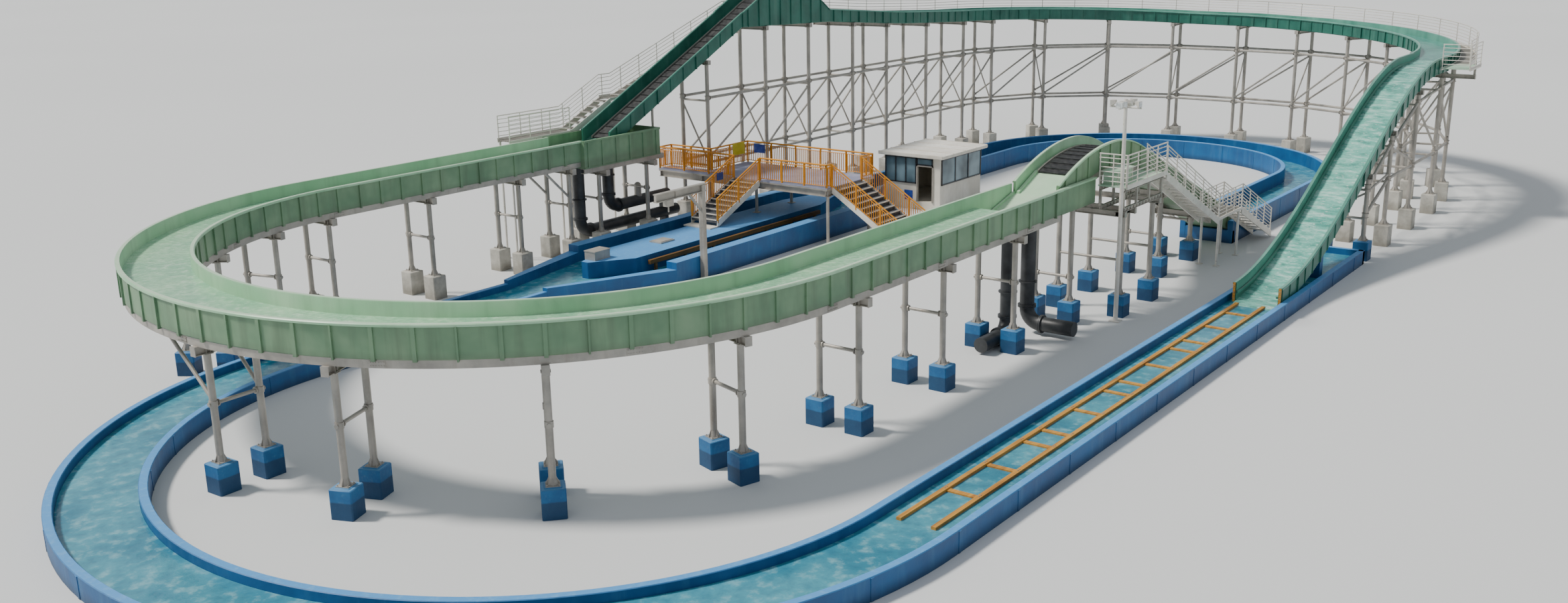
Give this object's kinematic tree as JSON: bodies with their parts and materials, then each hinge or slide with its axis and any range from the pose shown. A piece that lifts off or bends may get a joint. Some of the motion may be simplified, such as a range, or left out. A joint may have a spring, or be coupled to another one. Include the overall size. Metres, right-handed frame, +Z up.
{
  "type": "water slide tower, 1:2 scale model",
  "caption": "Splash water ride with a boat conveyor up to a low flume, a second up to a high flume on a braced trestle, a curved chute and a run-out trough.",
  "frame": {"origin": "centre of the part's plan box, on the ground it stands on", "axes": "+X along the run-out trough towards the high turn, +Y from the run-out towards the station, +Z up"},
  "size_m": [38.627, 16.65, 5.695],
  "materials": {
    "mint_channel": "weathered gel coat",
    "teal_channel": "weathered gel coat",
    "aqua_chute": "weathered gel coat",
    "steel_frame": "worn paint",
    "blue_trough": "painted concrete, stained at the water line",
    "timber": "wet timber",
    "orange_rail": "worn paint",
    "belt_rubber": "wet rubber",
    "pale_rail": "worn paint",
    "black_pipe": "dull pipe",
    "cream_wall": "painted wall"
  },
  "bodies": {
    "root": {"low_channel_front": "mint_channel", "low_channel_turn": "mint_channel", "low_channel_back": "mint_channel", "sump": "mint_channel", "first_lift_channel": "mint_channel", "second_lift_channel": "teal_channel", "crest_channel": "teal_channel", "high_channel_north": "teal_channel", "high_channel_first_turn": "teal_channel", "high_channel_second_turn": "teal_channel", "chute_channel": "aqua_chute", "low_frame_front": "steel_frame", "low_frame_turn": "steel_frame", "low_frame_back": "steel_frame", "sump_frame": "steel_frame", "first_lift_frame": "steel_frame", "crest_platform": "steel_frame", "trestle_north": "steel_frame", "trestle_east": "steel_frame", "trestle_tower": "steel_frame", "jib_post": "steel_frame", "run_out_trough": "blue_trough", "run_out_loop": "blue_trough", "return_trough": "blue_trough", "station_entry": "blue_trough", "station_exit": "blue_trough", "station_basin": "blue_trough", "station_island": "blue_trough", "back_loop_north": "blue_trough", "back_loop_turn": "blue_trough", "back_loop_south": "blue_trough", "run_out_ladder": "timber", "platform": "orange_rail", "island_stair": "orange_rail", "deck_stair": "orange_rail", "first_lift_belt": "belt_rubber", "second_lift_belt": "belt_rubber", "first_lift_stair": "pale_rail", "second_lift_stair": "pale_rail", "high_walkway_north": "pale_rail", "high_walkway_first_turn": "pale_rail", "high_walkway_second_turn": "pale_rail", "light_mast": "pale_rail", "riser_east_1": "black_pipe", "riser_east_2": "black_pipe", "riser_west": "black_pipe", "booth_walls": "cream_wall", "booth_roof": "cream_wall"}
  },
  "joints": []
}
